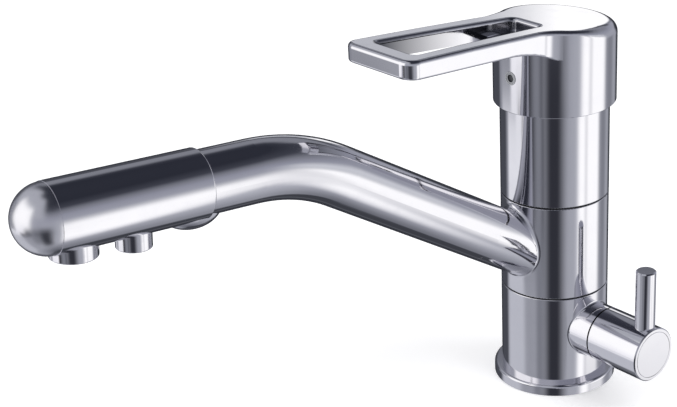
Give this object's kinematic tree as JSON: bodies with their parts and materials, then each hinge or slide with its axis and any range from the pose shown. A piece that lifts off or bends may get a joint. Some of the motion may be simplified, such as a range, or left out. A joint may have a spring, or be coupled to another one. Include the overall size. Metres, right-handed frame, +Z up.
{
  "type": "three way filtered water tap",
  "caption": "Single lever kitchen mixer tap with a swivelling spout, an open strap handle, a side valve for filtered water and separate mixed and filtered outlets under the spout head",
  "frame": {"origin": "centre of the tap's base, on the worktop", "axes": "+Z up the column, -Y the way the lever handle points, +X along the filtered water valve"},
  "size_m": [0.0961, 0.2823, 0.1791],
  "materials": {
    "chrome_plate": "polished bright chrome plate on brass",
    "bare_brass": "machined, not plated",
    "stainless_steel": "turned stainless steel",
    "ceramic": "lapped white ceramic",
    "seal_rubber": "black sealing rubber",
    "slide_ring_plastic": "dark slide ring plastic",
    "cartridge_plastic": "moulded light grey plastic",
    "outlet_plastic": "moulded translucent grey plastic",
    "pipe_plastic": "smooth white water pipe",
    "index_plastic": "grey moulded plug"
  },
  "bodies": {
    "tap_body": {"base_ring": "chrome_plate", "base_gasket": "seal_rubber", "lower_body": "chrome_plate", "lower_slide_ring": "slide_ring_plastic", "upper_slide_ring": "slide_ring_plastic", "neck_seals": "seal_rubber", "upper_body": "chrome_plate", "cartridge_case": "cartridge_plastic", "cartridge_base": "cartridge_plastic", "cartridge_seals": "seal_rubber", "fixed_ceramic_disc": "ceramic", "retaining_nut": "bare_brass", "dome_cap": "chrome_plate", "filter_headwork": "bare_brass", "filter_fixed_disc": "ceramic", "branch_seal": "seal_rubber"},
    "spout": {"spout_collar": "chrome_plate", "spout_tube": "chrome_plate", "filtered_water_pipe": "pipe_plastic", "spout_head": "chrome_plate", "head_end_cap": "chrome_plate", "head_seal": "seal_rubber", "head_set_screw": "stainless_steel", "aerator_ring": "chrome_plate", "aerator_insert": "outlet_plastic", "aerator_washer": "seal_rubber", "filter_nozzle_ring": "chrome_plate", "filter_nozzle_insert": "outlet_plastic"},
    "turret": {"cartridge_turret": "cartridge_plastic", "pivot_pin": "stainless_steel"},
    "mixer_slide": {"disc_carrier": "cartridge_plastic", "moving_ceramic_disc": "ceramic"},
    "handle": {"lever_handle": "chrome_plate", "cartridge_stem": "stainless_steel", "grub_screw": "stainless_steel", "index_plug": "index_plastic"},
    "filter_knob": {"knob_sleeve": "chrome_plate", "pin_lever": "chrome_plate", "knob_end_cap": "chrome_plate", "knob_screw": "stainless_steel", "filter_spindle": "bare_brass", "filter_moving_disc": "ceramic"}
  },
  "joints": [
    {"name": "spout_swivel", "type": "hinge", "parent": "tap_body", "child": "spout", "pos_m": [0, 0, 0.0685], "axis": [0, 0, 1], "range_deg": [-64.7, 75.3]},
    {"name": "mixer_turn", "type": "hinge", "parent": "tap_body", "child": "turret", "pos_m": [0, 0, 0.1303], "axis": [0, 0, 1], "range_deg": [-45, 45]},
    {"name": "handle_lift", "type": "hinge", "parent": "turret", "child": "handle", "pos_m": [0, 0, 0.1303], "axis": [-1, 0, 0], "range_deg": [0, 20]},
    {"name": "disc_slide", "type": "slide", "parent": "turret", "child": "mixer_slide", "axis": [0, -1, 0], "range_m": [0, 0.0044]},
    {"name": "filter_turn", "type": "hinge", "parent": "tap_body", "child": "filter_knob", "pos_m": [0.0543, 0, 0.0291], "axis": [1, 0, 0], "range_deg": [0, 90]}
  ],
  "couplings": [
    {"joint": "disc_slide", "follows": "handle_lift", "m_per_rad": 0.0123}
  ]
}
